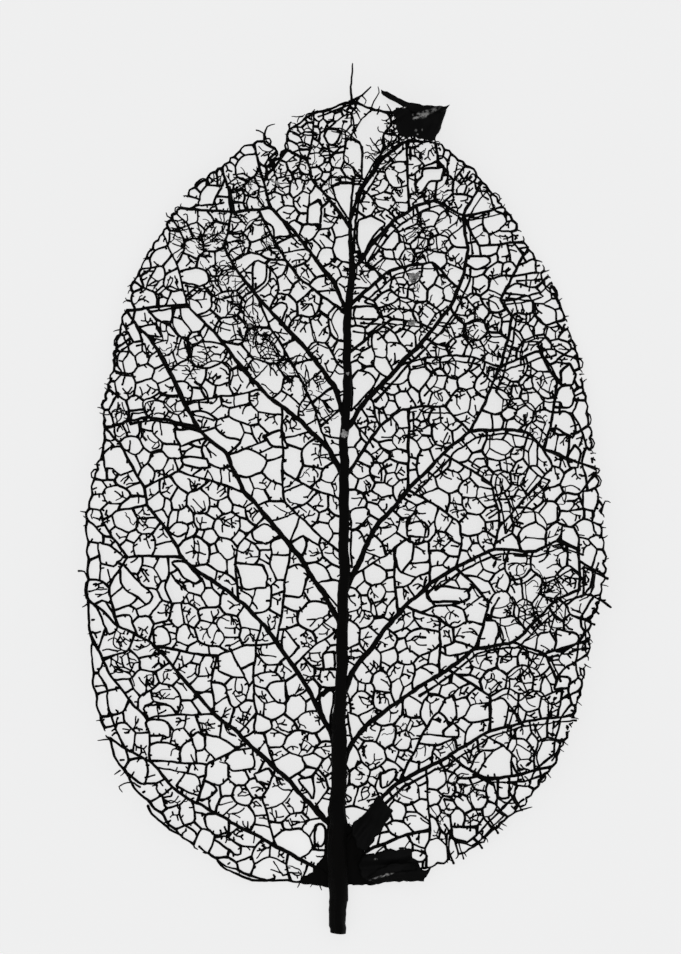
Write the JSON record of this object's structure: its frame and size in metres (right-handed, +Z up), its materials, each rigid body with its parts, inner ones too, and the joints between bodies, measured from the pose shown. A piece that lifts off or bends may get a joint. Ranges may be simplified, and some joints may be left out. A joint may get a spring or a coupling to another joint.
{
  "type": "skeleton leaf",
  "caption": "Skeleton leaf lying flat: stalk stub, midrib, side veins and an open net of fine veins, with dark scraps of blade at the tip and the foot.",
  "frame": {"origin": "middle of the leaf's box on the table that it lies on", "axes": "+X to the leaf's right, +Y from the stalk to the tip, +Z up from the table"},
  "size_m": [0.0628, 0.1018, 0.007],
  "materials": {
    "vein": "matte dry fibre",
    "blade": "satin dry blade"
  },
  "bodies": {
    "root": {"leaf_skeleton": "vein", "tip_scrap": "blade", "base_strip": "blade", "base_flap": "blade"}
  },
  "joints": []
}
